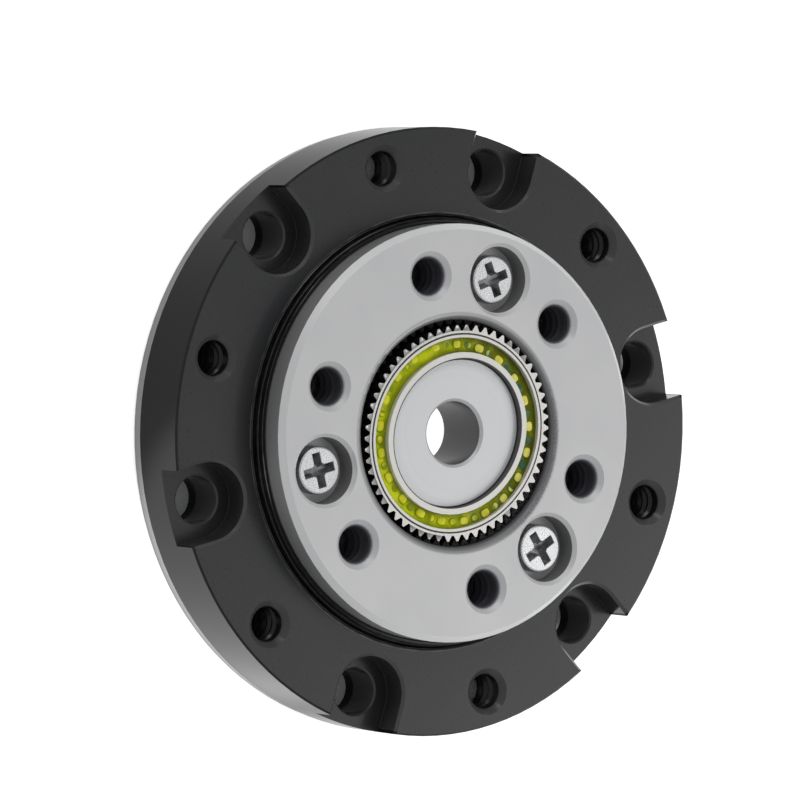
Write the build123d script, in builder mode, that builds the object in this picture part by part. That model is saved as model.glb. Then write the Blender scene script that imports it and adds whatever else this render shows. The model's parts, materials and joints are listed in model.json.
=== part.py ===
from build123d import *
from math import cos, pi, radians, sin, sqrt, tan
import os

# Strain wave gear of the flat "silk hat" kind, with its own crossed roller output bearing.
# Millimetres. +Z is the gear axis and points out of the toothed front. z = 0 is the back
# (mounting) face. The black outer ring and the flexspline are fixed, the grey circular
# spline is the output and the elliptical plug in the middle is the input.

# --- tooth system ---------------------------------------------------------------
MODULE = 0.127          # tooth size, pitch circles of 7.62 and 7.874 mm
TEETH_FLEX = 60         # flexspline teeth
TEETH_RING = 62         # circular spline teeth
WAVE = MODULE           # half the difference of the pitch circles: radial wave of the cup
MAJOR_DEG = 35.0        # direction of the long axis of the wave generator
FLANK_DEG = 28.0
FLEX_PITCH_R = MODULE * TEETH_FLEX / 2
RING_PITCH_R = MODULE * TEETH_RING / 2
FLEX_TIP = 0.110        # tooth above the pitch line
FLEX_ROOT = 0.100       # tooth below the pitch line
RING_TIP = 0.107
RING_ROOT = 0.133
FLEX_TOOTH_W = 0.190    # tooth width on the pitch line
RING_SPACE_W = 0.204    # gap width on the pitch line

# --- stations along the axis ----------------------------------------------------
Z_HAT_FLANGE = 0.50     # top of the flexspline flange, bottom of the outer ring
Z_NOTCH = 1.92          # floor of the rim notches
Z_OUTER = 3.00          # front face of the outer ring
Z_FACE = 4.43           # front face of the circular spline
Z_JOINT = 2.60          # circular spline back face, on the bearing inner ring
Z_TEETH_BACK = 2.45
Z_TEETH_FRONT = 4.36    # front end of the cup's teeth
Z_RING_TEETH = 4.02     # front end of the circular spline's teeth

# --- outer ring -----------------------------------------------------------------
OUTER_R = 11.0
OUTER_BORE_R = 7.76
OUTER_LIP_R = 7.87      # front lip that holds the seal in
SEAL_GROOVE_R = 8.15
SEAL_GROOVE_Z0, SEAL_GROOVE_Z1 = 2.36, 2.86
HOLE_PCR = 9.75         # pitch circle radius of all rim holes
THREAD_START = 41.4     # first of the six threaded holes, degrees
CLEAR_START = 11.4      # first of the six clearance holes, degrees
CLEAR_R = 0.85
BACK_HOLE_R = 1.02      # holes of the flexspline flange behind the free tapped holes
NOTCH_R = 1.40
NOTCH_PCR = 9.80

# --- crossed roller bearing -----------------------------------------------------
ROLLER_R = 0.45
ROLLER_L = 0.88
ROLLER_N = 36
RACE_R = 7.68
RACE_Z = 1.60
RACE_GAP = 0.010
INNER_RING_R = 7.60
INNER_RING_BORE = 4.97
INNER_RING_Z0 = 0.80
FILL_DEG = 26.4         # where the rollers are put in

# --- circular spline ------------------------------------------------------------
RING_R = 7.53
OUTPUT_PCR = 5.775
OUTPUT_START = 40.15
SCREW_START = 70.2
HUB_R = 4.95
HUB_Z0 = 2.20

# --- wave generator -------------------------------------------------------------
BORE_R = 1.15
PLUG_R = 2.69
PLUG_Z0, PLUG_Z1 = 1.67, 4.17
FLEX_INNER_R0, FLEX_INNER_R1 = 2.70, 2.94
FLEX_OUTER_R0, FLEX_OUTER_R1 = 3.47, 3.62
CUP_R = 3.63            # bore of the flexspline cup
BALL_N = 21
BALL_R = 0.30
BALL_PCR = 3.205
BALL_Z = 3.55
BALL_START = 1.0

# --- M1.6 and M1 threads --------------------------------------------------------
M16_MINOR, M16_MAJOR, M16_PITCH = 0.630, 0.775, 0.35

os.makedirs("parts", exist_ok=True)
MAJOR = radians(MAJOR_DEG)
TAN_F = tan(radians(FLANK_DEG))


def at(r, a):
    """A point at radius r and angle a in radians."""
    return (r * cos(a), r * sin(a))


def waved(r, amp=WAVE, n=48):
    """Points of a ring of radius r pressed into the two-lobed wave."""
    return [at(r + amp * cos(2 * (2 * pi * k / n - MAJOR)), 2 * pi * k / n) for k in range(n)]


def thread(z0, z1, pitch, r_in, r_out):
    """Zigzag edge of a screw thread from z0 up to z1, as (r, z)."""
    pts, z = [(r_in, z0)], z0 + 0.10 * pitch
    while z + 0.80 * pitch < z1:
        pts += [(r_in, z), (r_out, z + 0.36 * pitch), (r_in, z + 0.72 * pitch)]
        z += pitch
    return pts + [(r_in, z1)]


def flex_outline():
    """Outline of the toothed rim of the cup. Each tooth moves with the wave: in and out,
    sideways by half as much, and tilted with the wall."""
    neutral = (CUP_R + FLEX_PITCH_R - FLEX_ROOT) / 2
    pts = []
    for k in range(TEETH_FLEX):
        d = 2 * pi * k / TEETH_FLEX
        a = MAJOR + d
        w, v = WAVE * cos(2 * d), -WAVE / 2 * sin(2 * d)
        tilt = 1.5 * WAVE * sin(2 * d) / neutral
        half = FLEX_TOOTH_W / 2
        shape = [
            (-half - FLEX_ROOT * TAN_F, FLEX_PITCH_R - FLEX_ROOT),
            (-half + FLEX_TIP * TAN_F, FLEX_PITCH_R + FLEX_TIP),
            (half - FLEX_TIP * TAN_F, FLEX_PITCH_R + FLEX_TIP),
            (half + FLEX_ROOT * TAN_F, FLEX_PITCH_R - FLEX_ROOT),
        ]
        for t, r in shape:
            n = r - neutral
            nn, tt = n * cos(tilt) - t * sin(tilt), n * sin(tilt) + t * cos(tilt)
            x = (neutral + w + nn) * cos(a) - (v + tt) * sin(a)
            y = (neutral + w + nn) * sin(a) + (v + tt) * cos(a)
            pts.append((x, y))
    return pts


def ring_outline():
    """Outline of the toothed hole of the circular spline, with a gap on the long axis."""
    pts = []
    half = RING_SPACE_W / 2
    for k in range(TEETH_RING):
        a = MAJOR + 2 * pi * k / TEETH_RING
        for t, r in (
            (-half - RING_TIP * TAN_F, RING_PITCH_R - RING_TIP),
            (-half + RING_ROOT * TAN_F, RING_PITCH_R + RING_ROOT),
            (half - RING_ROOT * TAN_F, RING_PITCH_R + RING_ROOT),
            (half + RING_TIP * TAN_F, RING_PITCH_R - RING_TIP),
        ):
            pts.append((r * cos(a) - t * sin(a), r * sin(a) + t * cos(a)))
    return pts


# --- cutters and patterns used by several pieces ---------------------------------
RACE_H = (ROLLER_R + RACE_GAP) * sqrt(2)

# tapped hole of the outer ring, from the back up to its chamfered mouth
with BuildPart() as rim_tap:
    with BuildSketch(Plane.XZ):
        with BuildLine():
            Polyline(
                (0, 0.40), *thread(0.40, 2.78, M16_PITCH, M16_MINOR, M16_MAJOR),
                (0.85, Z_OUTER), (0.85, 3.1), (0, 3.1), close=True,
            )
        make_face()
    revolve(axis=Axis.Z)

# tapped hole of the circular spline
with BuildPart() as face_tap:
    with BuildSketch(Plane.XZ):
        with BuildLine():
            Polyline(
                (0, 2.50), *thread(2.50, 4.17, M16_PITCH, M16_MINOR + 0.01, M16_MAJOR),
                (0.90, Z_FACE), (0.90, 4.6), (0, 4.6), close=True,
            )
        make_face()
    revolve(axis=Axis.Z)

# counterbored hole for a screw of the circular spline
with BuildPart() as screw_seat:
    with BuildSketch(Plane.XZ):
        with BuildLine():
            Polyline(
                (0, 2.50), (0.475, 2.50), (0.475, 3.49), (1.20, 3.49), (1.20, 4.30),
                (1.33, Z_FACE), (1.33, 4.6), (0, 4.6), close=True,
            )
        make_face()
    revolve(axis=Axis.Z)

# --- outer ring: black flange and outer raceway -----------------------------------
with BuildPart() as outer_ring:
    with BuildSketch(Plane.XZ):
        with BuildLine():
            Polyline(
                (OUTER_BORE_R, Z_HAT_FLANGE + 0.05),
                (OUTER_BORE_R, RACE_Z - RACE_H + (OUTER_BORE_R - RACE_R)),
                (RACE_R + RACE_H - 0.015, RACE_Z - 0.015),
                (RACE_R + RACE_H - 0.015, RACE_Z + 0.015),
                (OUTER_BORE_R, RACE_Z + RACE_H - (OUTER_BORE_R - RACE_R)),
                (OUTER_BORE_R, SEAL_GROOVE_Z0),
                (SEAL_GROOVE_R, SEAL_GROOVE_Z0),
                (SEAL_GROOVE_R, SEAL_GROOVE_Z1),
                (OUTER_LIP_R, SEAL_GROOVE_Z1),
                (OUTER_LIP_R, Z_OUTER - 0.04),
                (OUTER_LIP_R + 0.04, Z_OUTER),
                (OUTER_R - 0.07, Z_OUTER),
                (OUTER_R, Z_OUTER - 0.07),
                (OUTER_R, Z_HAT_FLANGE + 0.05),
                (OUTER_R - 0.05, Z_HAT_FLANGE),
                (8.50, Z_HAT_FLANGE),
                (8.50, Z_HAT_FLANGE + 0.24),
                (8.15, Z_HAT_FLANGE + 0.24),
                (8.15, Z_HAT_FLANGE),
                (OUTER_BORE_R + 0.05, Z_HAT_FLANGE),
                close=True,
            )
        make_face()
    revolve(axis=Axis.Z)
    # six U-shaped notches open to the rim, with bevelled edges
    with BuildSketch(Plane.XY.offset(Z_NOTCH)) as notch:
        with PolarLocations(NOTCH_PCR, 6, start_angle=CLEAR_START):
            Circle(NOTCH_R)
        with PolarLocations(NOTCH_PCR + 1.0, 6, start_angle=CLEAR_START):
            Rectangle(2.0, 2 * NOTCH_R)
    extrude(amount=2.0, mode=Mode.SUBTRACT)
    with BuildSketch(Plane.XY.offset(Z_OUTER)):
        with PolarLocations(NOTCH_PCR, 6, start_angle=CLEAR_START):
            Circle(NOTCH_R + 0.10)
        with PolarLocations(NOTCH_PCR + 1.0, 6, start_angle=CLEAR_START):
            Rectangle(2.0, 2 * NOTCH_R + 0.20)
    extrude(amount=-0.10, taper=45, mode=Mode.SUBTRACT)
    # clearance holes in the notches
    with BuildSketch(Plane.XY.offset(Z_HAT_FLANGE)):
        with PolarLocations(HOLE_PCR, 6, start_angle=CLEAR_START):
            Circle(CLEAR_R)
    extrude(amount=3.0, mode=Mode.SUBTRACT)
    with BuildSketch(Plane.XY.offset(Z_NOTCH)):
        with PolarLocations(HOLE_PCR, 6, start_angle=CLEAR_START):
            Circle(CLEAR_R + 0.06)
    extrude(amount=-0.06, taper=45, mode=Mode.SUBTRACT)
    # tapped holes between them
    with PolarLocations(HOLE_PCR, 6, start_angle=THREAD_START):
        add(rim_tap.part, mode=Mode.SUBTRACT)
    # roller filling hole and the blind hole of its pin
    with BuildSketch(Plane(origin=(0, 0, RACE_Z), x_dir=(-sin(radians(FILL_DEG)), cos(radians(FILL_DEG)), 0),
                           z_dir=(cos(radians(FILL_DEG)), sin(radians(FILL_DEG)), 0)).offset(7.0)):
        Circle(0.62)
    extrude(amount=5.0, mode=Mode.SUBTRACT)
    with BuildSketch(Plane.XY.offset(Z_HAT_FLANGE)):
        with Locations(at(9.6, radians(FILL_DEG))):
            Circle(0.20)
    extrude(amount=2.0, mode=Mode.SUBTRACT)
outer_ring.part.label = "outer_ring"

# --- roller filling plug: closes the filling hole, its end carries the raceway on ---
with BuildPart() as roller_filling_plug:
    with BuildSketch(Plane(origin=(0, 0, RACE_Z), x_dir=(-sin(radians(FILL_DEG)), cos(radians(FILL_DEG)), 0),
                           z_dir=(cos(radians(FILL_DEG)), sin(radians(FILL_DEG)), 0)).offset(7.0)):
        Circle(0.61)
    extrude(amount=5.0)
    # trimmed to the rim, the bore and the raceway of the outer ring
    with BuildSketch(Plane.XZ):
        with BuildLine():
            Polyline(
                (OUTER_BORE_R, 0.3), (OUTER_BORE_R, RACE_Z - RACE_H + (OUTER_BORE_R - RACE_R)),
                (RACE_R + RACE_H - 0.015, RACE_Z - 0.015), (RACE_R + RACE_H - 0.015, RACE_Z + 0.015),
                (OUTER_BORE_R, RACE_Z + RACE_H - (OUTER_BORE_R - RACE_R)),
                (OUTER_BORE_R, 2.9), (OUTER_R - 0.02, 2.9), (OUTER_R - 0.02, 0.3), close=True,
            )
        make_face()
    revolve(axis=Axis.Z, mode=Mode.INTERSECT)
    with BuildSketch(Plane.XY.offset(Z_HAT_FLANGE)):
        with Locations(at(9.6, radians(FILL_DEG))):
            Circle(0.20)
    extrude(amount=2.0, mode=Mode.SUBTRACT)
roller_filling_plug.part.label = "roller_filling_plug"

with BuildPart() as filling_plug_pin:
    with BuildSketch(Plane.XY.offset(Z_HAT_FLANGE + 0.02)):
        with Locations(at(9.6, radians(FILL_DEG))):
            Circle(0.19)
    extrude(amount=1.90)
    chamfer(filling_plug_pin.edges().filter_by(GeomType.CIRCLE), 0.04)
filling_plug_pin.part.label = "filling_plug_pin"

# --- flexspline: flange, thin web and toothed cup in one piece ----------------------
with BuildPart() as flexspline:
    with BuildSketch(Plane.XZ):
        with BuildLine():
            Polyline(
                (3.40, 0.06), (7.90, 0.06), (8.02, 0.0), (10.88, 0.0), (10.93, 0.05),
                (10.93, Z_HAT_FLANGE - 0.05), (10.88, Z_HAT_FLANGE), (8.06, Z_HAT_FLANGE), (7.98, 0.44),
                (7.98, 0.30), (7.86, 0.20), (4.05, 0.20), (3.86, 0.25), (3.68, 0.45), (3.40, 0.45), close=True,
            )
        make_face()
    revolve(axis=Axis.Z)
    # the cup wall goes from round at the web to the full wave below the teeth
    with BuildSketch(Plane.XY.offset(0.15)):
        with BuildLine():
            Spline(*waved(CUP_R + 0.10, 0.0), periodic=True)
        make_face()
    with BuildSketch(Plane.XY.offset(Z_TEETH_BACK - 0.10)):
        with BuildLine():
            Spline(*waved(CUP_R + 0.10), periodic=True)
        make_face()
    loft()
    with BuildSketch(Plane.XY.offset(Z_TEETH_BACK - 0.10)):
        with BuildLine():
            Spline(*waved(CUP_R + 0.10), periodic=True)
        make_face()
    extrude(amount=0.10)
    with BuildSketch(Plane.XY.offset(Z_TEETH_BACK)):
        with BuildLine():
            Polyline(*flex_outline(), close=True)
        make_face()
    extrude(amount=Z_TEETH_FRONT - Z_TEETH_BACK)
    with BuildSketch(Plane.XY.offset(-0.05)):
        with BuildLine():
            Spline(*waved(CUP_R, 0.0), periodic=True)
        make_face()
    with BuildSketch(Plane.XY.offset(Z_TEETH_BACK - 0.10)):
        with BuildLine():
            Spline(*waved(CUP_R), periodic=True)
        make_face()
    loft(mode=Mode.SUBTRACT)
    with BuildSketch(Plane.XY.offset(Z_TEETH_BACK - 0.10)):
        with BuildLine():
            Spline(*waved(CUP_R), periodic=True)
        make_face()
    extrude(amount=3.0, mode=Mode.SUBTRACT)
    # bevelled mouth at the back
    with BuildSketch(Plane.XZ):
        with BuildLine():
            Polyline((3.3, -0.02), (3.79, -0.02), (3.55, 0.22), (3.3, 0.22), close=True)
        make_face()
    revolve(axis=Axis.Z, mode=Mode.SUBTRACT)
    # clearance holes in line with the notches
    with BuildSketch(Plane.XY.offset(-0.1)):
        with PolarLocations(HOLE_PCR, 6, start_angle=CLEAR_START):
            Circle(CLEAR_R)
        # wider ones at the tapped holes that stay free for screws from behind
        with PolarLocations(HOLE_PCR, 2, start_angle=THREAD_START):
            Circle(BACK_HOLE_R)
        with PolarLocations(HOLE_PCR, 2, start_angle=THREAD_START + 120):
            Circle(BACK_HOLE_R)
    extrude(amount=1.0, mode=Mode.SUBTRACT)
    # countersinks of the two assembly screws, through the whole flange
    with BuildSketch(Plane.XY.offset(-0.02)):
        with PolarLocations(HOLE_PCR, 2, start_angle=THREAD_START + 60):
            Circle(1.13)
    extrude(amount=0.54, taper=44, mode=Mode.SUBTRACT)
flexspline.part.label = "flexspline"

# --- two short countersunk screws from the back, flexspline to outer ring -----------
with BuildPart() as back_screw:
    with BuildSketch(Plane.XZ):
        with BuildLine():
            Polyline(
                (0, 0.03), (1.04, 0.03), (0.66, 0.42), (M16_MINOR - 0.04, 0.49), (M16_MINOR - 0.02, 0.56),
                *thread(0.40 + M16_PITCH, 1.45, M16_PITCH, M16_MINOR - 0.02, M16_MAJOR - 0.02),
                (0.48, 1.58), (0, 1.58), close=True,
            )
        make_face()
    revolve(axis=Axis.Z)
    with BuildSketch(Plane.XY.offset(0.0)):
        Rectangle(1.16, 0.26)
        Rectangle(0.26, 1.16)
        Circle(0.26)
    extrude(amount=0.36, taper=12, mode=Mode.SUBTRACT)
with BuildPart() as flexspline_screws:
    with PolarLocations(HOLE_PCR, 2, start_angle=THREAD_START + 60):
        add(back_screw.part)
flexspline_screws.part.label = "flexspline_screws"

# --- O-ring between the flexspline flange and the outer ring ------------------------
with BuildPart() as flange_o_ring:
    with BuildSketch(Plane.XZ):
        with BuildLine():
            Polyline(
                (8.17, 0.585), (8.20, 0.53), (8.26, 0.502), (8.39, 0.502), (8.45, 0.53), (8.48, 0.585),
                (8.48, 0.655), (8.45, 0.71), (8.39, 0.738), (8.26, 0.738), (8.20, 0.71), (8.17, 0.655), close=True,
            )
        make_face()
    revolve(axis=Axis.Z)
flange_o_ring.part.label = "flange_o_ring"

# --- front seal: rubber ring with a collar around the circular spline ---------------
with BuildPart() as front_seal:
    with BuildSketch(Plane.XZ):
        with BuildLine():
            Polyline(
                (7.66, 2.38), (7.92, 2.38), (7.92, 2.66), (8.06, 2.66), (8.06, 2.38), (8.14, 2.38), (8.14, 2.84),
                (7.86, 2.85), (7.86, 2.96), (7.83, 2.985), (7.80, 2.96), (7.78, 2.92), (7.755, 2.96),
                (7.745, 3.12), (7.73, 3.16), (7.71, 3.17), (7.695, 3.14), (7.68, 3.15), (7.672, 3.38),
                (7.655, 3.42), (7.575, 3.42), (7.55, 3.39), (7.55, 3.20), (7.60, 3.10), (7.62, 2.90), (7.64, 2.50),
                close=True,
            )
        make_face()
    revolve(axis=Axis.Z)
front_seal.part.label = "front_seal"

with BuildPart() as seal_stiffener:
    with BuildSketch(Plane.XZ):
        with BuildLine():
            Polyline((7.925, 2.40), (8.055, 2.40), (8.055, 2.655), (7.925, 2.655), close=True)
        make_face()
    revolve(axis=Axis.Z)
seal_stiffener.part.label = "seal_stiffener"

# --- inner ring of the crossed roller bearing ---------------------------------------
with BuildPart() as bearing_inner_ring:
    with BuildSketch(Plane.XZ):
        with BuildLine():
            Polyline(
                (INNER_RING_BORE, INNER_RING_Z0 + 0.08), (INNER_RING_BORE + 0.08, INNER_RING_Z0),
                (INNER_RING_R - 0.06, INNER_RING_Z0), (INNER_RING_R, INNER_RING_Z0 + 0.06),
                (INNER_RING_R, RACE_Z - RACE_H + (RACE_R - INNER_RING_R)),
                (RACE_R - RACE_H + 0.015, RACE_Z - 0.015), (RACE_R - RACE_H + 0.015, RACE_Z + 0.015),
                (INNER_RING_R, RACE_Z + RACE_H - (RACE_R - INNER_RING_R)),
                (INNER_RING_R, 2.30), (RING_R, 2.36), (RING_R, Z_JOINT), (INNER_RING_BORE + 0.06, Z_JOINT),
                (INNER_RING_BORE, Z_JOINT - 0.06), close=True,
            )
        make_face()
    revolve(axis=Axis.Z)
    with BuildSketch(Plane.XY.offset(1.10)):
        with PolarLocations(OUTPUT_PCR, 3, start_angle=SCREW_START):
            Circle(0.475)
    extrude(amount=2.0, mode=Mode.SUBTRACT)
bearing_inner_ring.part.label = "bearing_inner_ring"

# --- crossed rollers: every second one leans the other way --------------------------
STEP = 360.0 / ROLLER_N
with BuildPart() as roller_in:
    with BuildSketch(Plane(origin=(RACE_R, 0, RACE_Z), x_dir=(0, 1, 0), z_dir=(1, 0, 1)).offset(-ROLLER_L / 2)):
        Circle(ROLLER_R)
    extrude(amount=ROLLER_L)
    chamfer(roller_in.edges().filter_by(GeomType.CIRCLE), 0.05)
with BuildPart() as roller_out:
    with BuildSketch(Plane(origin=(RACE_R, 0, RACE_Z), x_dir=(0, 1, 0), z_dir=(-1, 0, 1)).offset(-ROLLER_L / 2)):
        Circle(ROLLER_R)
    extrude(amount=ROLLER_L)
    chamfer(roller_out.edges().filter_by(GeomType.CIRCLE), 0.05)
with BuildPart() as rollers_tilted_in:
    with PolarLocations(0, ROLLER_N // 2, start_angle=0):
        add(roller_in.part)
rollers_tilted_in.part.label = "rollers_tilted_in"
with BuildPart() as rollers_tilted_out:
    with PolarLocations(0, ROLLER_N // 2, start_angle=STEP):
        add(roller_out.part)
rollers_tilted_out.part.label = "rollers_tilted_out"

# spacer between a roller and the next: a small saddle, hollowed on both sides
with BuildPart() as spacer:
    with BuildSketch(Plane(origin=(RACE_R, 0, RACE_Z), x_dir=(1, 0, 0), z_dir=(0, 1, 0)).offset(-0.28)):
        Circle(0.40)
    extrude(amount=0.56)
    for a, lean in ((-STEP / 2, 1), (STEP / 2, -1)):
        c, s = cos(radians(a)), sin(radians(a))
        with BuildSketch(Plane(origin=(RACE_R * c, RACE_R * s, RACE_Z), x_dir=(-s, c, 0),
                               z_dir=(lean * c, lean * s, 1)).offset(-0.8)):
            Circle(ROLLER_R + 0.015)
        extrude(amount=1.6, mode=Mode.SUBTRACT)
with BuildPart() as spacer_back:
    add(mirror(spacer.part, about=Plane.XZ, mode=Mode.PRIVATE))
with BuildPart() as roller_spacers:
    with PolarLocations(0, ROLLER_N // 2, start_angle=STEP / 2):
        add(spacer.part)
    with PolarLocations(0, ROLLER_N // 2, start_angle=-STEP / 2):
        add(spacer_back.part)
roller_spacers.part.label = "roller_spacers"

# --- circular spline: the grey output ring ------------------------------------------
with BuildPart() as circular_spline:
    with BuildSketch(Plane.XZ):
        with BuildLine():
            Polyline(
                (RING_PITCH_R - RING_TIP - 0.03, HUB_Z0), (HUB_R - 0.06, HUB_Z0), (HUB_R, HUB_Z0 + 0.06),
                (HUB_R, 2.28), (4.70, 2.28), (4.70, 2.50), (HUB_R, 2.50), (HUB_R, Z_JOINT), (RING_R - 0.03, Z_JOINT),
                (RING_R, Z_JOINT + 0.03), (RING_R, 4.22), (7.32, Z_FACE), (4.33, Z_FACE),
            )
            # well rounded edge round the teeth
            ThreePointArc((4.33, Z_FACE), (4.1568, Z_FACE - 0.0718), (4.085, Z_FACE - 0.245))
            Polyline(
                (4.085, Z_FACE - 0.245), (4.085, Z_RING_TEETH), (RING_PITCH_R - RING_TIP - 0.03, Z_RING_TEETH),
                (RING_PITCH_R - RING_TIP - 0.03, HUB_Z0),
            )
        make_face()
    revolve(axis=Axis.Z)
    with BuildSketch(Plane.XY.offset(HUB_Z0 - 0.1)):
        with BuildLine():
            Polyline(*ring_outline(), close=True)
        make_face()
    extrude(amount=Z_RING_TEETH - HUB_Z0 + 0.2, mode=Mode.SUBTRACT)
    # relief behind the teeth, clear of the cup
    with BuildSketch(Plane.XY.offset(HUB_Z0 - 0.1)):
        Circle(4.12)
    extrude(amount=Z_TEETH_BACK + 0.05 - HUB_Z0 + 0.1, mode=Mode.SUBTRACT)
    with PolarLocations(OUTPUT_PCR, 6, start_angle=OUTPUT_START):
        add(face_tap.part, mode=Mode.SUBTRACT)
    with PolarLocations(OUTPUT_PCR, 3, start_angle=SCREW_START):
        add(screw_seat.part, mode=Mode.SUBTRACT)
circular_spline.part.label = "circular_spline"

# --- O-ring in the hub groove -------------------------------------------------------
with BuildPart() as hub_o_ring:
    with BuildSketch(Plane.XZ):
        with Locations((4.833, 2.39)):
            RectangleRounded(0.262, 0.20, 0.09)
    revolve(axis=Axis.Z)
hub_o_ring.part.label = "hub_o_ring"

# --- three cross recess screws, circular spline to bearing inner ring ---------------
with BuildPart() as face_screw:
    with BuildSketch(Plane.XZ):
        with BuildLine():
            Polyline(
                (0, 1.25), (0.34, 1.25), *thread(1.35, 3.10, 0.25, 0.37, 0.46), (0.37, 3.12), (0.46, 3.20),
                (0.46, 3.495), (0.865, 3.495), (0.865, 3.92), (0.84, 3.965), (0.79, 3.99), (0, 3.99), close=True,
            )
        make_face()
    revolve(axis=Axis.Z)
    with BuildSketch(Plane.XY.offset(4.0)):
        Rectangle(1.30, 0.35)
        Rectangle(0.35, 1.30)
        Circle(0.30)
    extrude(amount=-0.36, taper=18, mode=Mode.SUBTRACT)
with BuildPart() as spline_screws:
    for a, turn in ((SCREW_START, 18.0), (SCREW_START + 120, 12.0), (SCREW_START + 240, 30.0)):
        with Locations(Location((*at(OUTPUT_PCR, radians(a)), 0), (0, 0, 1), turn)):
            add(face_screw.part)
spline_screws.part.label = "spline_screws"

# --- wave generator plug ------------------------------------------------------------
with BuildPart() as wave_generator_plug:
    with BuildSketch(Plane.XY.offset(2.60)):
        with BuildLine():
            Spline(*waved(PLUG_R + 0.13), periodic=True)
        make_face()
    extrude(amount=0.17)
    with BuildSketch(Plane.XY.offset(2.60)):
        with BuildLine():
            Spline(*waved(PLUG_R), periodic=True)
        make_face()
    extrude(amount=PLUG_Z1 - 2.60)
    with BuildSketch(Plane.XY.offset(PLUG_Z0)):
        Circle(2.20)
    extrude(amount=1.0)
    chamfer(wave_generator_plug.faces().sort_by(Axis.Z)[0].edges(), 0.12)
    with BuildSketch(Plane.XZ):
        with BuildLine():
            Polyline(
                (0, 1.5), (BORE_R + 0.27, 1.5), (BORE_R + 0.10, PLUG_Z0), (BORE_R, PLUG_Z0 + 0.10),
                (BORE_R, PLUG_Z1 - 0.10), (BORE_R + 0.10, PLUG_Z1), (BORE_R + 0.23, 4.3), (0, 4.3), close=True,
            )
        make_face()
    revolve(axis=Axis.Z, mode=Mode.SUBTRACT)
wave_generator_plug.part.label = "wave_generator_plug"

# the balls' track: a tube around the path of their centres, which is the same wave
with BuildPart() as ball_track:
    with BuildLine() as ball_path:
        Spline(*[(x, y, BALL_Z) for x, y in waved(BALL_PCR)], periodic=True)
    centre_line = ball_path.edges()[0]
    for half in (centre_line.trim(0, 0.5), centre_line.trim(0.5, 1)):
        with BuildSketch(Plane(origin=half @ 0, z_dir=half % 0)):
            Circle(BALL_R + 0.010)
        sweep(path=half)

# --- inner ring of the thin ball bearing, pressed oval on the plug -------------------
with BuildPart() as flex_bearing_inner_ring:
    with BuildSketch(Plane.XY.offset(2.78)):
        with BuildLine():
            Spline(*waved(FLEX_INNER_R1), periodic=True)
        make_face()
    extrude(amount=4.40 - 2.78)
    with BuildSketch(Plane.XY.offset(2.5)):
        with BuildLine():
            Spline(*waved(FLEX_INNER_R0), periodic=True)
        make_face()
    extrude(amount=3.0, mode=Mode.SUBTRACT)
    add(ball_track.part, mode=Mode.SUBTRACT)
flex_bearing_inner_ring.part.label = "flex_bearing_inner_ring"

# --- outer ring of the thin ball bearing, in the bore of the cup ---------------------
with BuildPart() as flex_bearing_outer_ring:
    with BuildSketch(Plane.XY.offset(2.78)):
        with BuildLine():
            Spline(*waved(FLEX_OUTER_R1), periodic=True)
        make_face()
    extrude(amount=4.37 - 2.78)
    with BuildSketch(Plane.XY.offset(2.5)):
        with BuildLine():
            Spline(*waved(FLEX_OUTER_R0), periodic=True)
        make_face()
    extrude(amount=3.0, mode=Mode.SUBTRACT)
    add(ball_track.part, mode=Mode.SUBTRACT)
flex_bearing_outer_ring.part.label = "flex_bearing_outer_ring"

ball_points = []
for k in range(BALL_N):
    a = radians(BALL_START) + 2 * pi * k / BALL_N
    r = BALL_PCR + WAVE * cos(2 * (a - MAJOR))
    ball_points.append((*at(r, a), BALL_Z))

with BuildPart() as flex_bearing_balls:
    with Locations(*ball_points):
        Sphere(BALL_R)
flex_bearing_balls.part.label = "flex_bearing_balls"

# --- snap-in cage between the balls --------------------------------------------------
with BuildPart() as flex_bearing_cage:
    with BuildSketch(Plane.XY.offset(2.95)):
        with BuildLine():
            Spline(*waved(3.41), periodic=True)
        make_face()
    extrude(amount=0.83)
    with BuildSketch(Plane.XY.offset(2.5)):
        with BuildLine():
            Spline(*waved(3.00), periodic=True)
        make_face()
    extrude(amount=2.0, mode=Mode.SUBTRACT)
    with Locations(*ball_points):
        Sphere(BALL_R + 0.03, mode=Mode.SUBTRACT)
flex_bearing_cage.part.label = "flex_bearing_cage"

for piece in (
    outer_ring, roller_filling_plug, filling_plug_pin, flexspline, flexspline_screws, flange_o_ring,
    front_seal, seal_stiffener, bearing_inner_ring, rollers_tilted_in, rollers_tilted_out, roller_spacers,
    circular_spline, hub_o_ring, spline_screws, wave_generator_plug, flex_bearing_inner_ring,
    flex_bearing_outer_ring, flex_bearing_balls, flex_bearing_cage,
):
    export_step(piece.part, f"parts/{piece.part.label}.step")
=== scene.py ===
import json
import random
from math import atan2, cos, exp, pi, radians, sin, sqrt

import bmesh
import bpy
from mathutils import Matrix, Vector


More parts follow.
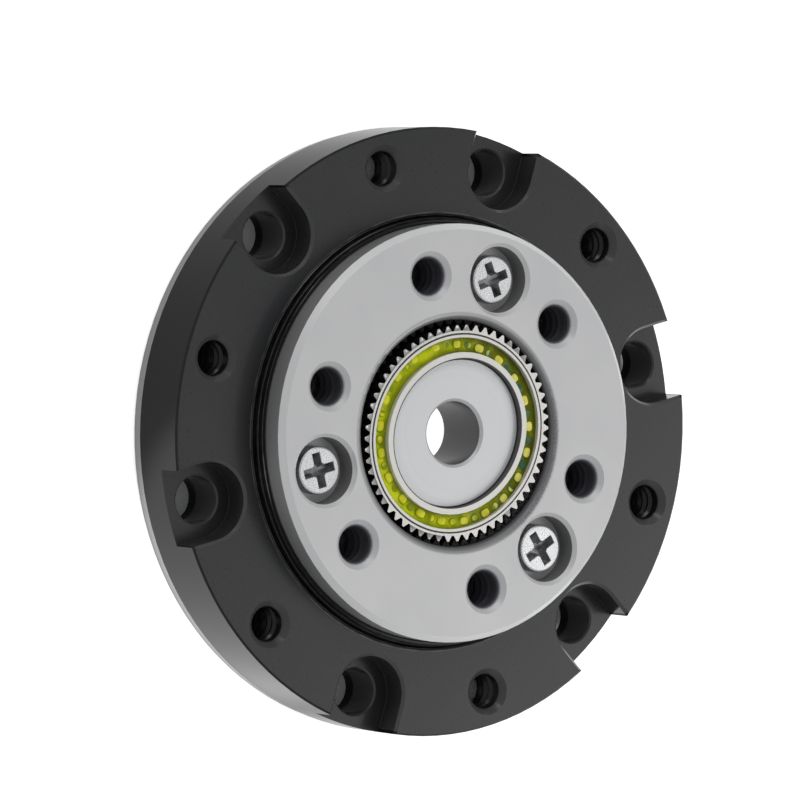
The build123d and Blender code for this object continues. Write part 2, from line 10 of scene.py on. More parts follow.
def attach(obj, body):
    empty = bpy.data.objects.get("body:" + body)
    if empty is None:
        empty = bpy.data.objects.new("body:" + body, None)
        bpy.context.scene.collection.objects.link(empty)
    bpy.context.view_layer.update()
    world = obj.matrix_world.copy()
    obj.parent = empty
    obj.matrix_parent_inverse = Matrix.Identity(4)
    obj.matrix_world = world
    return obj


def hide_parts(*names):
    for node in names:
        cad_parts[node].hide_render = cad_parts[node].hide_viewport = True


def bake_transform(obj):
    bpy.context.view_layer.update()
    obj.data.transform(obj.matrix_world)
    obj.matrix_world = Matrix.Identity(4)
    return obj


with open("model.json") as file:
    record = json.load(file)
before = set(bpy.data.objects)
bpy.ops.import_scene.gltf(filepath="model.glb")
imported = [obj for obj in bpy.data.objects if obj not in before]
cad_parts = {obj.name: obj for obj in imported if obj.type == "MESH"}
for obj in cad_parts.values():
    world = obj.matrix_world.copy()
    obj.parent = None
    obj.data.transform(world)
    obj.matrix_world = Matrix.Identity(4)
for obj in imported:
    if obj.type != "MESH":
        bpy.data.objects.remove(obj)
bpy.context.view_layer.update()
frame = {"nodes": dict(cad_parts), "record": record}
nodes = frame["nodes"]
MM = 0.001
MAJOR = radians(35.0)   # long axis of the oval wave generator

# --- camera: at the photograph's angle, 33 degrees off the gear axis ------------------
camera_data = bpy.data.cameras.new("camera")
camera_data.sensor_width = 36.0
camera_data.lens = 292.5
camera_data.clip_start = 0.01
camera_data.clip_end = 10.0
camera = bpy.data.objects.new("camera", camera_data)
bpy.context.scene.collection.objects.link(camera)
right = Vector((0.83527905, -0.02601514, 0.54921045))
up = Vector((0.05197588, 0.99814291, -0.03176839))
back = Vector((-0.54736406, 0.05508116, 0.83508003))
place = Vector((-0.12938088, 0.01409771, 0.19804188))
camera.matrix_world = Matrix((
    (right.x, up.x, back.x, place.x),
    (right.y, up.y, back.y, place.y),
    (right.z, up.z, back.z, place.z),
    (0, 0, 0, 1),
))
bpy.context.scene.camera = camera
bpy.context.scene.view_settings.view_transform = "Standard"
bpy.context.scene.view_settings.look = "None"

# --- light: pale surround, one large soft box over the front, one at the top -----------
world = bpy.data.worlds.new("surround")
world.use_nodes = True
world.node_tree.nodes["Background"].inputs["Color"].default_value = (0.97, 0.985, 1.0, 1)
world.node_tree.nodes["Background"].inputs["Strength"].default_value = 0.45
bpy.context.scene.world = world


def softbox(name, place, size, watts, target=(0, 0, 0.003), colour=(1, 1, 1)):
    data = bpy.data.lights.new(name, "AREA")
    data.shape = "RECTANGLE"
    data.size, data.size_y = size
    data.energy = watts
    data.color = colour
    o = bpy.data.objects.new(name, data)
    bpy.context.scene.collection.objects.link(o)
    o.location = place
    o.rotation_euler = (Vector(target) - Vector(place)).to_track_quat("-Z", "Y").to_euler()
    return o


softbox("softbox_front", (0.19, -0.105, 0.17), (0.18, 0.17), 0.24)
softbox("softbox_top", (-0.02, 0.33, 0.26), (0.30, 0.16), 0.30)


# --- material kit -----------------------------------------------------------------------
class Kit:
    """Builds one node material. Places are read in millimetres in the piece's own frame."""

    def __init__(self, name, colour, metallic, roughness, level=0.5):
        self.m = bpy.data.materials.new(name)
        self.m.use_nodes = True
        self.t = self.m.node_tree
        self.t.nodes.clear()
        self.b = self.add("ShaderNodeBsdfPrincipled")
        out = self.add("ShaderNodeOutputMaterial")
        self.link(self.b.outputs[0], out.inputs[0])
        self.b.inputs["Base Color"].default_value = (*colour, 1)
        self.b.inputs["Metallic"].default_value = metallic
        self.b.inputs["Roughness"].default_value = roughness
        self.b.inputs["Specular IOR Level"].default_value = level
        where = self.add("ShaderNodeTexCoord")
        self.mm = self.add("ShaderNodeVectorMath", operation="SCALE")
        self.mm.inputs["Scale"].default_value = 1000.0
        self.link(where.outputs["Object"], self.mm.inputs[0])
        self.p = self.mm.outputs["Vector"]
        self.m.diffuse_color = (*colour, 1)

    def add(self, kind, **props):
        n = self.t.nodes.new(kind)
        for k, v in props.items():
            setattr(n, k, v)
        return n

    def link(self, a, b):
        self.t.links.new(a, b)

    def put(self, value, socket):
        if hasattr(value, "is_output"):
            self.link(value, socket)
        else:
            socket.default_value = value

    def noise(self, scale, detail=3.0, rough=0.5, distort=0.0, at=None):
        n = self.add("ShaderNodeTexNoise")
        self.link(at or self.p, n.inputs["Vector"])
        n.inputs["Scale"].default_value = scale
        n.inputs["Detail"].default_value = detail
        n.inputs["Roughness"].default_value = rough
        n.inputs["Distortion"].default_value = distort
        return n.outputs["Fac"]

    def cells(self, scale, at=None, feature="F1", random_=1.0):
        n = self.add("ShaderNodeTexVoronoi", feature=feature)
        self.link(at or self.p, n.inputs["Vector"])
        n.inputs["Scale"].default_value = scale
        n.inputs["Randomness"].default_value = random_
        return n.outputs["Distance"]

    def math(self, op, a, b=0.0, c=0.0):
        n = self.add("ShaderNodeMath", operation=op)
        self.put(a, n.inputs[0])
        self.put(b, n.inputs[1])
        self.put(c, n.inputs[2])
        return n.outputs[0]

    def span(self, x, a, b, lo=0.0, hi=1.0):
        n = self.add("ShaderNodeMapRange", interpolation_type="SMOOTHSTEP", clamp=True)
        self.put(x, n.inputs["Value"])
        for k, v in (("From Min", a), ("From Max", b), ("To Min", lo), ("To Max", hi)):
            n.inputs[k].default_value = v
        return n.outputs["Result"]

    def ramp(self, x, *stops):
        n = self.add("ShaderNodeValToRGB")
        self.link(x, n.inputs["Fac"])
        e = n.color_ramp.elements
        while len(e) < len(stops):
            e.new(0.5)
        for el, (at, c) in zip(e, stops):
            el.position = at
            el.color = (*c, 1)
        return n.outputs["Color"]

    def mix(self, f, a, b):
        n = self.add("ShaderNodeMix", data_type="RGBA")
        self.put(f, n.inputs["Factor"])
        for v, i in ((a, 6), (b, 7)):
            self.put(v if hasattr(v, "is_output") else (*v, 1), n.inputs[i])
        return n.outputs[2]

    def xyz(self, at=None):
        n = self.add("ShaderNodeSeparateXYZ")
        self.link(at or self.p, n.inputs[0])
        return n.outputs[0], n.outputs[1], n.outputs[2]

    def radius(self, cx=0.0, cy=0.0):
        x, y, _ = self.xyz()
        if cx or cy:
            x, y = self.math("SUBTRACT", x, cx), self.math("SUBTRACT", y, cy)
        return self.math("SQRT", self.math("ADD", self.math("MULTIPLY", x, x), self.math("MULTIPLY", y, y)))

    def hole_distance(self, circle, start, step):
        """Distance from the axis of the nearest hole of a hole circle."""
        x, y, _ = self.xyz()
        a = self.math("SUBTRACT", self.math("ARCTAN2", y, x), radians(start - step / 2))
        a = self.math("SUBTRACT", self.math("FLOORED_MODULO", a, radians(step)), radians(step / 2))
        r = self.radius()
        cross = self.math("MULTIPLY", self.math("MULTIPLY", r, self.math("COSINE", a)), -2.0 * circle)
        square = self.math("ADD", self.math("MULTIPLY", r, r), circle * circle)
        return self.math("SQRT", self.math("MAXIMUM", self.math("ADD", square, cross), 0.0))

    def oval(self):
        """Radius less the two-lobed wave, so that one number follows an oval edge."""
        x, y, _ = self.xyz()
        a = self.math("SUBTRACT", self.math("ARCTAN2", y, x), MAJOR)
        lobe = self.math("MULTIPLY", self.math("COSINE", self.math("MULTIPLY", a, 2.0)), 0.127)
        return self.math("SUBTRACT", self.radius(), lobe)

    def both(self, a, b):
        return self.math("MULTIPLY", a, b)

    def up(self, kind="Normal"):
        n = self.add("ShaderNodeNewGeometry")
        return self.xyz(n.outputs[kind])[2]

    def circles(self, period, wobble=0.0):
        """Fine turning marks: a noise that depends on the radius and the height only."""
        _, _, z = self.xyz()
        v = self.add("ShaderNodeCombineXYZ")
        self.link(self.radius(), v.inputs[0])
        self.link(z, v.inputs[1])
        return self.noise(1.0 / period, 4.0, 0.7, at=v.outputs[0])

    def bump(self, *layers):
        """Layers of (height socket, strength, distance in mm)."""
        last = None
        for h, strength, mm in layers:
            n = self.add("ShaderNodeBump")
            n.inputs["Strength"].default_value = strength
            n.inputs["Distance"].default_value = mm * MM
            self.link(h, n.inputs["Height"])
            if last is not None:
                self.link(last, n.inputs["Normal"])
            last = n.outputs["Normal"]
        self.link(last, self.b.inputs["Normal"])

    def set(self, **kw):
        for k, v in kw.items():
            self.put(v if hasattr(v, "is_output") or not isinstance(v, tuple) else (*v, 1), self.b.inputs[k.replace("_", " ")])
        return self


def black_anodised():
    k = Kit("anodised_black", (0.03, 0.03, 0.032), 0.0, 0.36, 0.25)
    blotch = k.noise(0.28, 3, 0.5)
    grain = k.noise(46, 3, 0.7)
    fine = k.noise(7, 4, 0.7)
    nz = k.up()
    x, y, z = k.xyz()
    r = k.radius()
    flat = k.span(nz, 0.93, 0.985)
    # painted highlight: the chamfers are lighter than the faces, least on the outer rim
    edge = k.both(k.span(nz, 0.30, 0.50), k.span(nz, 0.97, 0.90))
    face = k.ramp(blotch, (0.30, (0.0165, 0.0168, 0.0185)), (0.55, (0.0190, 0.0191, 0.0197)), (0.80, (0.0225, 0.0223, 0.0222)))
    # painted light: the side walls inside the part are lighter than the outer rim side, the clearance hole walls
    # lighter still
    rim = k.span(r, 10.86, 10.90)
    inside = k.span(k.hole_distance(9.75, 11.4, 60.0), 0.92, 0.88)
    wall = k.mix(inside, (0.024, 0.024, 0.0255), (0.075, 0.075, 0.078))
    wall = k.mix(rim, wall, (0.0045, 0.0046, 0.0050))
    base = k.mix(flat, wall, face)
    colour = k.mix(edge, base, k.mix(rim, (0.065, 0.065, 0.067), (0.026, 0.026, 0.027)))
    # painted highlight: a thin light line on the bevel at the foot of the notch walls
    foot = k.both(k.both(k.span(z, 1.965, 1.945), k.span(z, 1.90, 1.915)), k.both(k.span(nz, 0.6, 0.4), k.span(r, 10.86, 10.80)))
    foot = k.both(foot, k.span(k.hole_distance(9.75, 11.4, 60.0), 1.1, 1.2))
    colour = k.mix(k.both(foot, 0.7), colour, (0.13, 0.13, 0.132))
    # a few hair scratches from handling
    stretch = k.add("ShaderNodeMapping")
    stretch.inputs["Scale"].default_value = (0.9, 0.06, 0.3)
    stretch.inputs["Rotation"].default_value = (0, 0, 0.9)
    k.link(k.p, stretch.inputs["Vector"])
    hair = k.span(k.cells(4.0, at=stretch.outputs[0], feature="DISTANCE_TO_EDGE"), 0.004, 0.0)
    hair = k.both(hair, k.span(k.noise(0.9, 2), 0.54, 0.68))
    colour = k.mix(k.both(hair, k.math("MULTIPLY", flat, 0.35)), colour, (0.060, 0.060, 0.059))
    # painted shade: the walls of the tapped holes are darkened
    hole = k.both(k.both(k.span(k.hole_distance(9.75, 41.4, 60.0), 0.98, 0.92), k.span(nz, 0.9, 0.8)), k.span(z, 2.84, 2.76))
    colour = k.mix(hole, colour, (0.018, 0.018, 0.0198))
    # painted highlight: a thin broken light line on the lip at the inner edge of the flange
    lip_highlight = k.both(k.span(r, 7.95, 7.92), k.span(z, 2.93, 2.96))
    colour = k.mix(k.both(lip_highlight, k.span(k.noise(1.6, 3), 0.35, 0.6, 0.25, 1.0)), colour, (0.12, 0.12, 0.122))
    gloss = k.both(k.math("SUBTRACT", 1.0, flat), k.span(r, 10.90, 10.86))
    k.set(Base_Color=colour, Roughness=k.math("ADD", k.span(fine, 0.25, 0.8, 0.17, 0.20), k.math("MULTIPLY", flat, 0.10)),
          Specular_IOR_Level=k.math("ADD", k.span(nz, 0.93, 0.985, 0.06, 0.50), k.math("MULTIPLY", gloss, 0.35)))
    k.bump((grain, 0.015, 0.002), (fine, 0.02, 0.006))
    return k.m


def satin_grey():
    k = Kit("satin_grey_ring", (0.56, 0.56, 0.57), 0.30, 0.42, 0.25)
    blotch = k.noise(0.35, 3, 0.5)
    grain = k.noise(60, 3, 0.6)
    nz = k.up()
    x, y, z = k.xyz()
    r = k.radius()
    # painted highlight: the outer chamfers are lighter than the faces
    edge = k.both(k.both(k.span(nz, 0.40, 0.62), k.span(nz, 0.95, 0.84)), k.span(r, 4.5, 4.6))
    # painted shade: the side walls are darker than the faces, with turning marks in them
    side = k.span(nz, 0.25, 0.05)
    base = k.ramp(blotch, (0.25, (0.575, 0.573, 0.578)), (0.75, (0.63, 0.626, 0.625)))
    turned = k.circles(0.035)
    base = k.mix(k.both(side, 0.85), base, k.ramp(turned, (0.3, (0.14, 0.14, 0.145)), (0.7, (0.24, 0.237, 0.235))))
    base = k.mix(edge, base, (0.70, 0.70, 0.70))
    # the rounded edge round the teeth is smeared with a little dirty grease, most at one side; the dark speckled band
    # is partly this grease and partly painted shade of the edge
    around = k.math("ADD", k.math("MULTIPLY", x, 0.94), k.math("MULTIPLY", y, -0.34))
    speck = k.span(k.noise(13, 5, 0.75, 0.4), 0.40, 0.60)
    smear_and_shade = k.both(k.both(k.span(r, 4.46, 4.22), k.span(around, 2.6, 3.8)), k.span(speck, 0.0, 1.0, 0.15, 0.95))
    base = k.mix(smear_and_shade, base, (0.17, 0.17, 0.172))
    # painted shade: the rounded edge of the bore is darkened, and a band at its top next to the face
    curve_shade = k.both(k.span(r, 4.35, 4.20), k.span(nz, 0.995, 0.86))
    base = k.mix(k.both(curve_shade, 0.80), base, (0.15, 0.15, 0.153))
    base = k.mix(k.both(k.both(k.span(r, 4.40, 4.30), k.span(z, 4.15, 4.20)), 0.62), base, (0.20, 0.20, 0.203))
    # painted shade: the tapped holes are darkened inside, and the ring teeth between the cup teeth are near black on
    # the side away from the lights and speckled grey on the lit side
    hole = k.both(k.span(k.hole_distance(5.775, 40.15, 60.0), 0.82, 0.78), k.span(z, 4.30, 4.20))
    teeth = k.both(k.span(r, 4.12, 4.09), k.span(z, 4.22, 4.17))
    base = k.mix(hole, base, (0.070, 0.070, 0.082))
    base = k.mix(teeth, base, k.mix(k.both(k.span(around, -1.0, 3.0), speck), (0.004, 0.004, 0.0045), (0.10, 0.10, 0.10)))
    dark = k.math("MAXIMUM", hole, teeth)
    k.set(Base_Color=base, Roughness=k.span(grain, 0.3, 0.8, 0.36, 0.48), Metallic=k.math("MULTIPLY", k.span(dark, 1.0, 0.0), 0.30),
          Specular_IOR_Level=k.span(dark, 0.0, 1.0, 0.25, 0.10))
    k.bump((grain, 0.12, 0.003), (turned, 0.10, 0.003))
    return k.m


def spring_steel():
    k = Kit("spring_steel", (0.66, 0.65, 0.63), 0.75, 0.3)
    marks = k.circles(0.05)
    speck = k.noise(50, 3, 0.7)
    nz = k.up()
    x, y, z = k.xyz()
    r = k.radius()
    colour = k.ramp(k.math("ADD", k.math("MULTIPLY", k.noise(0.8, 4, 0.6), 0.6), k.math("MULTIPLY", marks, 0.4)),
                    (0.30, (0.62, 0.60, 0.57)), (0.72, (0.78, 0.76, 0.73)))
    # painted shade: the rim side of the flange is darkened
    rim = k.both(k.span(r, 10.5, 10.8), k.span(nz, 0.75, 0.55))
    colour = k.mix(rim, colour, (0.165, 0.160, 0.154))
    # painted shade: the walls of the flange holes are painted near black
    near = k.math("MINIMUM", k.hole_distance(9.75, 11.4, 60.0), k.math("ADD", k.hole_distance(9.75, 41.4, 60.0), -0.15))
    hole = k.both(k.both(k.span(near, 1.10, 1.02), k.span(r, 10.85, 10.8)), k.span(k.math("ABSOLUTE", nz), 0.9, 0.8))
    # painted shade: the tooth flanks are painted near black, as the shade in the gaps between the greasy teeth of the
    # cup
    side = k.span(k.up("True Normal"), 0.75, 0.55)
    gaps = k.both(k.both(side, k.span(r, 3.40, 3.46)), k.both(k.span(r, 4.3, 4.2), k.span(z, 2.4, 2.5)))
    gaps = k.both(gaps, k.span(z, 4.35, 4.33))
    dark = k.math("MAXIMUM", hole, gaps)
    colour = k.mix(dark, colour, (0.008, 0.008, 0.009))
    k.set(Base_Color=colour,
          Metallic=k.both(k.span(k.math("MAXIMUM", rim, dark), 0.0, 1.0, 0.55, 0.30), k.math("SUBTRACT", 1.0, gaps)),
          Specular_IOR_Level=k.both(k.span(dark, 0.0, 1.0, 0.5, 0.12), k.span(gaps, 0.0, 1.0, 1.0, 0.15)),
          Roughness=k.span(k.math("ADD", k.math("MULTIPLY", marks, 0.5), k.math("MULTIPLY", speck, 0.5)), 0.3, 0.7, 0.26, 0.38))
    k.bump((marks, 0.10, 0.003), (speck, 0.06, 0.002))
    return k.m


def race_steel():
    k = Kit("race_steel", (0.80, 0.78, 0.74), 0.30, 0.35)
    marks = k.circles(0.03)
    speck = k.noise(50, 3, 0.7)
    nz = k.up()
    colour = k.ramp(marks, (0.30, (0.72, 0.70, 0.655)), (0.72, (0.80, 0.78, 0.735)))
    # painted shade: thin dark lines where the rings meet the plug and the cup
    e = k.oval()
    line = k.math("MAXIMUM", k.span(e, 2.742, 2.722), k.both(k.span(e, 3.556, 3.572), k.span(e, 3.7, 3.65)))
    colour = k.mix(line, colour, (0.035, 0.033, 0.030))
    # painted shade: the side walls near the inner edge are darkened
    wall = k.both(k.span(nz, 0.6, 0.4), k.span(e, 2.9, 2.8))
    colour = k.mix(wall, colour, (0.11, 0.11, 0.112))
    k.set(Base_Color=colour, Roughness=k.span(speck, 0.3, 0.7, 0.30, 0.42))
    k.bump((marks, 0.08, 0.003), (speck, 0.06, 0.002))
    return k.m


def steel(name, low, high, metallic=0.95, rough=(0.24, 0.36), turned=0.03, grain=50, depth=0.15, edge_colour=None):
    k = Kit(name, high, metallic, rough[0])
    blotch = k.noise(0.8, 4, 0.6)
    marks = k.circles(turned)
    speck = k.noise(grain, 3, 0.7)
    colour = k.ramp(k.math("ADD", k.math("MULTIPLY", blotch, 0.6), k.math("MULTIPLY", marks, 0.4)), (0.30, low), (0.72, high))
    if edge_colour:
        nz = k.up()
        edge = k.math("MULTIPLY", k.span(nz, 0.35, 0.6), k.span(nz, 0.95, 0.84))
        colour = k.mix(edge, colour, edge_colour)
    k.set(Base_Color=colour, Roughness=k.span(k.math("ADD", k.math("MULTIPLY", marks, 0.5), k.math("MULTIPLY", speck, 0.5)), 0.3, 0.7, rough[0], rough[1]))
    k.bump((marks, depth, 0.003), (speck, 0.06, 0.002))
    return k.m


def turned_plug():
    k = Kit("turned_plug", (0.66, 0.66, 0.67), 0.30, 0.34, 0.3)
    marks = k.circles(0.028)
    broad = k.circles(0.35)
    nz = k.up()
    stretch = k.add("ShaderNodeMapping")
    stretch.inputs["Scale"].default_value = (0.8, 0.05, 0.3)
    stretch.inputs["Rotation"].default_value = (0, 0, 0.25)
    k.link(k.p, stretch.inputs["Vector"])
    hair = k.span(k.cells(5.0, at=stretch.outputs[0], feature="DISTANCE_TO_EDGE"), 0.007, 0.0)
    hair = k.math("MULTIPLY", hair, k.span(k.noise(1.1, 2), 0.5, 0.62))
    colour = k.ramp(k.math("ADD", k.math("MULTIPLY", marks, 0.5), k.math("MULTIPLY", broad, 0.5)), (0.3, (0.66, 0.662, 0.668)), (0.7, (0.745, 0.745, 0.745)))
    colour = k.mix(k.math("MULTIPLY", hair, 0.4), colour, (0.90, 0.90, 0.89))
    # painted shade: the bore wall is darker, and so is the groove between the plug and its bearing
    r = k.radius()
    bore = k.both(k.span(r, 1.22, 1.17), k.span(nz, 0.5, 0.3))
    colour = k.mix(bore, colour, (0.085, 0.085, 0.088))
    colour = k.mix(k.span(k.oval(), 2.640, 2.662), colour, (0.03, 0.03, 0.03))
    k.set(Base_Color=colour, Roughness=k.span(marks, 0.3, 0.7, 0.30, 0.40))
    k.bump((marks, 0.10, 0.002), (broad, 0.05, 0.004), (hair, 0.15, -0.002))
    return k.m


def screw_steel():
    k = Kit("screw_steel", (0.80, 0.80, 0.80), 0.6, 0.26)
    speck = k.noise(30, 3, 0.7)
    x, y, z = k.xyz()
    colour = k.ramp(k.noise(1.2, 4, 0.6), (0.30, (0.70, 0.70, 0.71)), (0.72, (0.80, 0.80, 0.80)))
    # the cross recess and the flank of the head lie in shade
    low = k.both(k.span(z, 3.972, 3.950), k.span(z, 3.45, 3.50))
    colour = k.mix(low, colour, k.ramp(k.noise(2.6, 2, 0.5), (0.35, (0.13, 0.13, 0.134)), (0.62, (0.42, 0.42, 0.425))))
    k.set(Base_Color=colour, Roughness=k.span(speck, 0.3, 0.7, 0.25, 0.31))
    k.bump((speck, 0.02, 0.001))
    return k.m


def black_rubber():
    k = Kit("seal_rubber", (0.008, 0.008, 0.009), 0.0, 0.20, 0.5)
    grain = k.noise(35, 4, 0.7)
    # painted highlights: thin broken light rings on the seal
    thin = k.span(k.circles(0.055), 0.57, 0.64)
    broken = k.span(k.noise(1.3, 3), 0.40, 0.60, 0.15, 1.0)
    colour = k.ramp(k.noise(1.5, 3), (0.3, (0.0045, 0.0046, 0.0058)), (0.7, (0.009, 0.009, 0.0100)))
    colour = k.mix(k.both(thin, broken), colour, (0.11, 0.11, 0.116))
    k.set(Base_Color=colour, Roughness=k.span(grain, 0.3, 0.7, 0.12, 0.26))
    k.bump((grain, 0.05, 0.004), (k.circles(0.055), 0.25, 0.006))
    return k.m


def spacer_plastic():
    k = Kit("spacer_plastic", (0.70, 0.66, 0.55), 0.0, 0.5)
    k.set(Base_Color=k.ramp(k.noise(4, 4), (0.3, (0.62, 0.58, 0.46)), (0.7, (0.74, 0.70, 0.60))))
    k.set(Subsurface_Weight=0.1)
    k.b.inputs["Subsurface Radius"].default_value = (0.0003, 0.0002, 0.0001)
    k.bump((k.noise(40, 3), 0.1, 0.005))
    return k.m


MATERIALS = {
    "black_anodised": black_anodised(),
    "satin_grey": satin_grey(),
    "spring_steel": spring_steel(),
    "bearing_steel": steel("bearing_steel", (0.40, 0.40, 0.41), (0.52, 0.52, 0.52), 0.9, (0.16, 0.26), 0.04),
    "race_steel": race_steel(),
    "turned_steel": turned_plug(),
    "ball_steel": steel("ball_steel", (0.74, 0.74, 0.75), (0.82, 0.82, 0.82), 1.0, (0.06, 0.12), 0.2, depth=0.02),
    "screw_steel": screw_steel(),
    "black_rubber": black_rubber(),
    "spacer_plastic": spacer_plastic(),
}
for row in frame["record"]["subparts"]:
    made = MATERIALS.get(row["material_slot"])
    if made:
        o = nodes[row["node"]]
        o.data.materials.clear()
        o.data.materials.append(made)


# --- the toothed cup and the thin outer race: copies of the CAD pieces, the cup wall cut into rings, the race riding the wave generator ---
def copy_of(node, name):
    data = nodes[node].data.copy()
    data.name = name
    o = bpy.data.objects.new(name, data)
    bpy.context.scene.collection.objects.link(o)
    return o


cup = copy_of("flexspline", "flexspline_cup")
bm = bmesh.new()
bm.from_mesh(cup.data)
bmesh.ops.remove_doubles(bm, verts=bm.verts, dist=2e-7)
for k in range(24):
    level = (0.56 + (2.36 - 0.56) * k / 23) * MM
    wall = [f for f in bm.faces if min(v.co.z for v in f.verts) < level < max(v.co.z for v in f.verts)]
    around = list({e for f in wall for e in f.edges}) + list({v for f in wall for v in f.verts}) + wall
    bmesh.ops.bisect_plane(bm, geom=around, dist=1e-8, plane_co=(0, 0, level), plane_no=(0, 0, 1))
bm.to_mesh(cup.data)
bm.free()
for f in cup.data.polygons:
    # flat teeth and end faces, smooth wall
    tooth = f.center.z > 2.44 * MM and f.center.xy.length > 3.66 * MM
    f.use_smooth = abs(f.normal.z) < 0.9 and not tooth
cup.data.set_sharp_from_angle(angle=radians(28))
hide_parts("flexspline")
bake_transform(cup)

race = copy_of("flex_bearing_outer_ring", "thin_outer_race")
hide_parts("flex_bearing_outer_ring")
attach(race, "wave_generator")


# --- greased cage of the thin bearing ------------------------------------------------------
BALLS = 21
BALL0 = radians(1.0)


def wave(a):
    return 0.127 * cos(2 * (a - MAJOR))


def band(name, count, steps, section):
    """A closed ring. section(a) gives the points (r, z) of the cross-section in mm, the first
    steps + 1 of them along the top. The argument steps is not used."""
    verts, faces = [], []
    for i in range(count):
        a = 2 * pi * i / count
        loop = section(a)
        verts += [(r * cos(a) * MM, r * sin(a) * MM, z * MM) for r, z in loop]
    n = len(loop)
    for i in range(count):
        j = (i + 1) % count
        for q in range(n):
            s = (q + 1) % n
            faces.append((i * n + q, i * n + s, j * n + s, j * n + q))
    data = bpy.data.meshes.new(name)
    data.from_pydata(verts, [], faces)
    bm = bmesh.new()
    bm.from_mesh(data)
    bmesh.ops.recalc_face_normals(bm, faces=bm.faces)
    bm.to_mesh(data)
    bm.free()
    for f in data.polygons:
        f.use_smooth = True
    data.set_sharp_from_angle(angle=radians(50))
    o = bpy.data.objects.new(name, data)
    bpy.context.scene.collection.objects.link(o)
    return o


def smooth(x, a, b):
    t = min(1.0, max(0.0, (x - a) / (b - a)))
    return t * t * (3 - 2 * t)


def grease_height(a, u):
    """Top of the grease: higher at both walls, uneven round the ring. u runs 0 to 1 outwards."""
    z = 4.165 + 0.035 * (2 * u - 1) ** 4
    z += 0.012 * sin(7 * a + 1.3) + 0.010 * sin(13 * a + 4.0 * u + 0.4) + 0.007 * sin(29 * a - 6.0 * u)
    z += 0.05 * exp(-((((a - radians(118)) + pi) % (2 * pi) - pi) / 0.42) ** 2)
    return z


def grease_section(a):
    w = wave(a)
    inner, outer, n = 2.948 + w, 3.462 + w, 10
    top = [(inner + (outer - inner) * q / n, grease_height(a, q / n)) for q in range(n + 1)]
    return top + [(outer, 3.98), (inner, 3.98)]


# The wave as a field that turns with the input: it pushes the balls and their cage in and
# out as they go round.
field_data = bpy.data.lattices.new("wave_field")
field_data.points_u, field_data.points_v, field_data.points_w = 45, 45, 2
field_data.interpolation_type_u = field_data.interpolation_type_v = field_data.interpolation_type_w = "KEY_LINEAR"
field = bpy.data.objects.new("wave_field", field_data)
bpy.context.scene.collection.objects.link(field)
SPAN = 8.8
field.scale = (SPAN * MM, SPAN * MM, 3.0 * MM)
field.location = (0, 0, 3.6 * MM)
for point in field_data.points:
    px, py, pz = point.co
    a = atan2(py, px)
    push = wave(a) * smooth(sqrt(px * px + py * py) * SPAN, 1.0, 2.5) / SPAN
    point.co_deform = (px + push * cos(a), py + push * sin(a), pz)
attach(field, "wave_generator")


def in_wave(o):
    m = o.modifiers.new("wave", "LATTICE")
    m.object = field


rng = random.Random(21)
PRONGS = [(rng.uniform(0.85, 1.0), rng.uniform(-0.02, 0.02), rng.uniform(0.88, 1.12), rng.uniform(0.6, 1.0)) for _ in range(BALLS)]


def cage_height(a, r):
    """Top of the cage: a rounded prong over each ball and a lower web between two balls."""
    k = (a - BALL0) / (2 * pi / BALLS)
    near = round(k)
    high, shift, wide, web = PRONGS[near % BALLS]
    t = (k - near) * (2 * pi / BALLS) * 3.205 - shift
    u = (r - 3.205) / 0.19
    d = ((abs(t) / (0.215 * wide)) ** 3.0 + (abs(u) / 0.95) ** 3.0) ** (1 / 3.0)
    prong = (1 - smooth(d, 0.66, 1.05)) * 0.115 * high * (1 - 0.25 * d)
    mid = abs(k - near) - 0.5
    t2 = mid * (2 * pi / BALLS) * 3.205
    d2 = ((t2 / 0.20) ** 2 + (u / 0.9) ** 2) ** 0.5
    low = (1 - smooth(d2, 0.6, 1.0)) * 0.072 * web
    return 4.135 + prong + low


def cage_section(a):
    n = 14
    top = [(3.205 - 0.185 + 0.37 * q / n) for q in range(n + 1)]
    return [(r, cage_height(a, r)) for r in top] + [(3.39, 3.86), (3.02, 3.86)]


def flecks(k, amount):
    """Small wet glints."""
    wet = k.span(k.noise(10, 4, 0.65, 1.2), 0.60, 0.66)
    return k.math("MULTIPLY", wet, amount)


def grease_material():
    k = Kit("green_grease", (0.42, 0.56, 0.03), 0.0, 0.25, 0.06)
    cloud = k.noise(1.5, 4, 0.6, 0.8)
    x, y, z = k.xyz()
    u = k.math("MULTIPLY", k.math("SUBTRACT", k.oval(), 3.205), 1 / 0.257)
    shade = k.span(k.math("ABSOLUTE", u), 0.25, 1.0)
    side = k.span(k.math("ADD", k.math("MULTIPLY", x, 0.9), k.math("MULTIPLY", y, 0.10)), -1.2, 2.4)
    light = k.ramp(cloud, (0.30, (0.26, 0.33, 0.004)), (0.50, (0.50, 0.58, 0.008)), (0.70, (0.78, 0.82, 0.022)))
    dark = k.ramp(cloud, (0.30, (0.07, 0.085, 0.006)), (0.52, (0.16, 0.175, 0.004)), (0.72, (0.30, 0.33, 0.008)))
    colour = k.mix(side, light, dark)
    colour = k.mix(k.both(shade, 0.75), colour, k.mix(side, (0.17, 0.20, 0.003), (0.075, 0.085, 0.003)))
    k.set(Base_Color=colour, Roughness=k.span(k.noise(6, 3), 0.3, 0.7, 0.12, 0.30))
    k.link(flecks(k, 0.8), k.b.inputs["Coat Weight"])
    k.b.inputs["Coat Roughness"].default_value = 0.05
    k.bump((k.noise(4.5, 3, 0.6, 0.8), 0.35, 0.04))
    return k.m


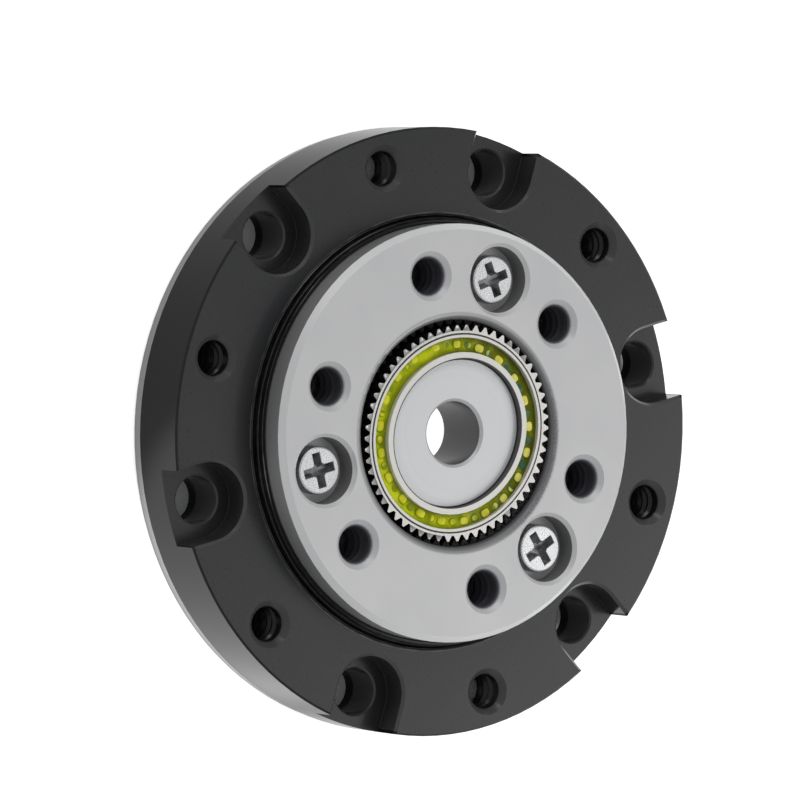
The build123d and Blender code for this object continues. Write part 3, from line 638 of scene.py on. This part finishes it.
def cage_material():
    k = Kit("greased_cage", (0.60, 0.62, 0.04), 0.0, 0.25, 0.10)
    x, y, z = k.xyz()
    high = k.span(z, 4.190, 4.206)
    cloud = k.noise(2.6, 3, 0.6)
    side = k.span(k.math("ADD", k.math("MULTIPLY", x, 0.9), k.math("MULTIPLY", y, 0.10)), -1.0, 2.4)
    yellow = k.mix(side, k.ramp(cloud, (0.3, (0.58, 0.60, 0.012)), (0.7, (0.86, 0.84, 0.045))),
                   k.ramp(cloud, (0.3, (0.70, 0.64, 0.03)), (0.7, (0.98, 0.92, 0.26))))
    web = k.mix(side, (0.30, 0.35, 0.008), (0.05, 0.15, 0.075))
    k.set(Base_Color=k.mix(high, web, yellow), Roughness=k.span(k.noise(8, 3), 0.3, 0.7, 0.14, 0.32))
    k.link(flecks(k, 0.7), k.b.inputs["Coat Weight"])
    k.b.inputs["Coat Roughness"].default_value = 0.05
    k.bump((k.noise(7, 3, 0.6), 0.2, 0.02))
    return k.m


grease = band("bearing_grease", 420, 10, grease_section)
grease.data.materials.append(grease_material())
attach(grease, "wave_generator")

CAGE = cage_material()
cage = band("bearing_cage", 21 * 30, 14, cage_section)
cage.data.materials.append(CAGE)
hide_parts("flex_bearing_cage")
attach(cage, "ball_set")
in_wave(cage)

bm = bmesh.new()
for n in range(BALLS):
    a = BALL0 + 2 * pi * n / BALLS
    bmesh.ops.create_uvsphere(bm, u_segments=24, v_segments=16, radius=0.285 * MM,
                              matrix=Matrix.Translation((3.205 * cos(a) * MM, 3.205 * sin(a) * MM, 3.55 * MM)))
ball_data = bpy.data.meshes.new("bearing_balls")
bm.to_mesh(ball_data)
bm.free()
for f in ball_data.polygons:
    f.use_smooth = True
balls = bpy.data.objects.new("bearing_balls", ball_data)
bpy.context.scene.collection.objects.link(balls)
ball_data.materials.append(MATERIALS["ball_steel"])
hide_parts("flex_bearing_balls")
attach(balls, "ball_set")
in_wave(balls)

# --- floor: pale, glowing white round the part, with painted light under the bore and beside the rim ---
bpy.ops.mesh.primitive_plane_add(size=6.0, location=(0, 0, -0.00002))
floor = bpy.context.object
floor.name = "floor"
k = Kit("pale_floor", (0.93, 0.93, 0.93), 0.0, 0.7, 0.3)
r = k.radius()
outside = k.span(r, 10.4, 11.1)
# painted light: the floor glows under the bore, so that it shows white through the bore
under_bore = k.span(r, 2.6, 2.2)
# brighter strip beside the rim at the lower left, seen as a reflection in the rim
x, y, _ = k.xyz()
strip = k.both(k.span(k.math("ADD", k.math("MULTIPLY", x, -0.829), k.math("MULTIPLY", y, -0.559)), 9.4, 10.9),
               k.both(k.span(r, 10.8, 11.3), k.span(r, 22.0, 15.0)))
glow = k.math("ADD", k.math("MULTIPLY", outside, 0.72), k.math("MULTIPLY", under_bore, 1.0))
glow = k.math("ADD", glow, k.math("MULTIPLY", strip, 1.8))
k.b.inputs["Emission Color"].default_value = (1, 1, 1, 1)
k.link(glow, k.b.inputs["Emission Strength"])
k.bump((k.noise(0.4, 3), 0.02, 0.05))
floor.data.materials.append(k.m)
